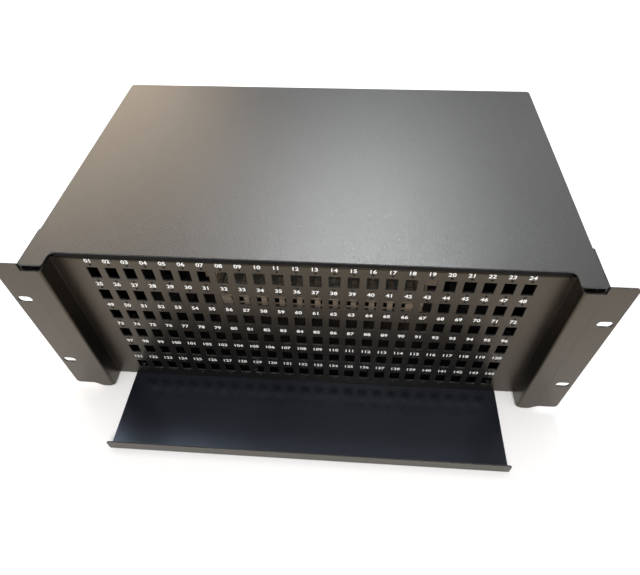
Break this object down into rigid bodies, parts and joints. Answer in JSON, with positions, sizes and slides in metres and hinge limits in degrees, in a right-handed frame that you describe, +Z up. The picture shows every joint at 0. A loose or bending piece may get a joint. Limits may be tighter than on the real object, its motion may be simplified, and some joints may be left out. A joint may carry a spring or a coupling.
{
  "type": "fiber termination box",
  "caption": "Rack-mount sheet-steel fibre termination box with a recessed grid of adapter ports, rack ears, a pull-out cable tray and splice trays inside.",
  "frame": {"origin": "middle of the footprint, at the underside of the cable tray rails", "axes": "+X to the front's right, +Y from the port face to the back, +Z up"},
  "size_m": [0.4826, 0.3698, 0.1833],
  "materials": {
    "painted_steel": "black powder coat, satin, fine grain",
    "cover_steel": "black powder coat, satin, fine grain",
    "zinc_steel": "bright zinc plating",
    "black_screw": "black zinc, satin",
    "splice_plastic": "moulded ivory plastic",
    "lid_plastic": "clear to milky moulded plastic",
    "black_plastic": "moulded black nylon"
  },
  "bodies": {
    "housing": {"front_panel": "painted_steel", "base_pan": "painted_steel", "rack_ear_left": "painted_steel", "rack_ear_right": "painted_steel", "tray_rail_left": "painted_steel", "tray_rail_right": "painted_steel", "ear_screw_left_1": "black_screw", "ear_screw_left_2": "black_screw", "ear_screw_left_3": "black_screw", "rail_screw_left_1": "zinc_steel", "rail_nut_left_1": "zinc_steel", "rail_screw_left_2": "zinc_steel", "rail_nut_left_2": "zinc_steel", "ear_screw_right_1": "black_screw", "ear_screw_right_2": "black_screw", "ear_screw_right_3": "black_screw", "rail_screw_right_1": "zinc_steel", "rail_nut_right_1": "zinc_steel", "rail_screw_right_2": "zinc_steel", "rail_nut_right_2": "zinc_steel", "panel_screw_1": "zinc_steel", "panel_screw_2": "zinc_steel", "panel_screw_3": "zinc_steel", "panel_screw_4": "zinc_steel", "splice_tray_1": "splice_plastic", "splice_tray_2": "splice_plastic", "splice_tray_3": "splice_plastic", "splice_tray_4": "splice_plastic", "splice_stud_left": "zinc_steel", "splice_stud_right": "zinc_steel", "gland_body_1": "black_plastic", "gland_lock_nut_1": "black_plastic", "gland_body_2": "black_plastic", "gland_lock_nut_2": "black_plastic", "gland_body_3": "black_plastic", "gland_lock_nut_3": "black_plastic", "gland_body_4": "black_plastic", "gland_lock_nut_4": "black_plastic", "cable_clamp_left": "zinc_steel", "slack_spool_left": "black_plastic", "cable_clamp_right": "zinc_steel", "slack_spool_right": "black_plastic", "ground_stud": "zinc_steel", "ground_nut": "zinc_steel"},
    "cable_tray": {"cable_tray": "painted_steel"},
    "cover": {"top_cover": "cover_steel", "cover_screw_left_1": "black_screw", "cover_screw_left_2": "black_screw", "cover_screw_rear_left": "black_screw", "cover_screw_right_1": "black_screw", "cover_screw_right_2": "black_screw", "cover_screw_rear_right": "black_screw"},
    "splice_lid": {"splice_lid": "lid_plastic"},
    "wing_nut_left": {"wing_nut_left": "zinc_steel"},
    "wing_nut_right": {"wing_nut_right": "zinc_steel"},
    "gland_nut_1": {"gland_nut_1": "black_plastic"},
    "gland_nut_2": {"gland_nut_2": "black_plastic"},
    "gland_nut_3": {"gland_nut_3": "black_plastic"},
    "gland_nut_4": {"gland_nut_4": "black_plastic"}
  },
  "joints": [
    {"name": "cable_tray_slide", "type": "slide", "parent": "housing", "child": "cable_tray", "axis": [0, 1, 0], "range_m": [0, 0.078]},
    {"name": "top_cover_lift", "type": "slide", "parent": "housing", "child": "cover", "axis": [0, 0, 1], "range_m": [0, 0.12]},
    {"name": "splice_lid_hinge", "type": "hinge", "parent": "housing", "child": "splice_lid", "pos_m": [0, 0.0979, 0.0502], "axis": [-1, 0, 0], "range_deg": [0, 100]},
    {"name": "wing_nut_left_turn", "type": "hinge", "parent": "housing", "child": "wing_nut_left", "pos_m": [-0.133, 0.0399, 0.0536], "axis": [0, 0, 1], "continuous": true},
    {"name": "wing_nut_right_turn", "type": "hinge", "parent": "housing", "child": "wing_nut_right", "pos_m": [0.133, 0.0399, 0.0536], "axis": [0, 0, 1], "continuous": true},
    {"name": "gland_nut_1_turn", "type": "hinge", "parent": "housing", "child": "gland_nut_1", "pos_m": [-0.17, 0.1749, 0.034], "axis": [0, 1, 0], "continuous": true},
    {"name": "gland_nut_2_turn", "type": "hinge", "parent": "housing", "child": "gland_nut_2", "pos_m": [-0.13, 0.1749, 0.034], "axis": [0, 1, 0], "continuous": true},
    {"name": "gland_nut_3_turn", "type": "hinge", "parent": "housing", "child": "gland_nut_3", "pos_m": [0.13, 0.1749, 0.034], "axis": [0, 1, 0], "continuous": true},
    {"name": "gland_nut_4_turn", "type": "hinge", "parent": "housing", "child": "gland_nut_4", "pos_m": [0.17, 0.1749, 0.034], "axis": [0, 1, 0], "continuous": true}
  ]
}
